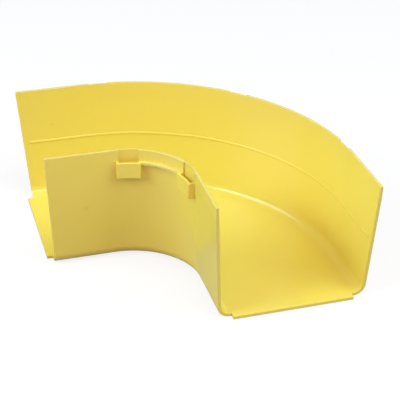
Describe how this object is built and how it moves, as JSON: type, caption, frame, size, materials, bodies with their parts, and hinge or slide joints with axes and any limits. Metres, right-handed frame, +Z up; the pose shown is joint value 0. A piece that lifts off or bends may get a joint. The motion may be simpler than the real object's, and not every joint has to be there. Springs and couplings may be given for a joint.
{
  "type": "fibre raceway elbow",
  "caption": "Open-topped U-channel elbow that turns a fibre cord raceway through a right angle on the level, with latch pockets for a clip-on cover and floor tongues at its ends.",
  "frame": {"origin": "on the underside of the floor, where the centre lines of the two legs cross", "axes": "+Z up, out of the channel's open top; one leg runs to -X and the other to -Y"},
  "size_m": [0.242, 0.242, 0.1],
  "materials": {
    "yellow_plastic": "satin injection-moulded yellow plastic"
  },
  "bodies": {
    "root": {"raceway_elbow": "yellow_plastic"}
  },
  "joints": []
}
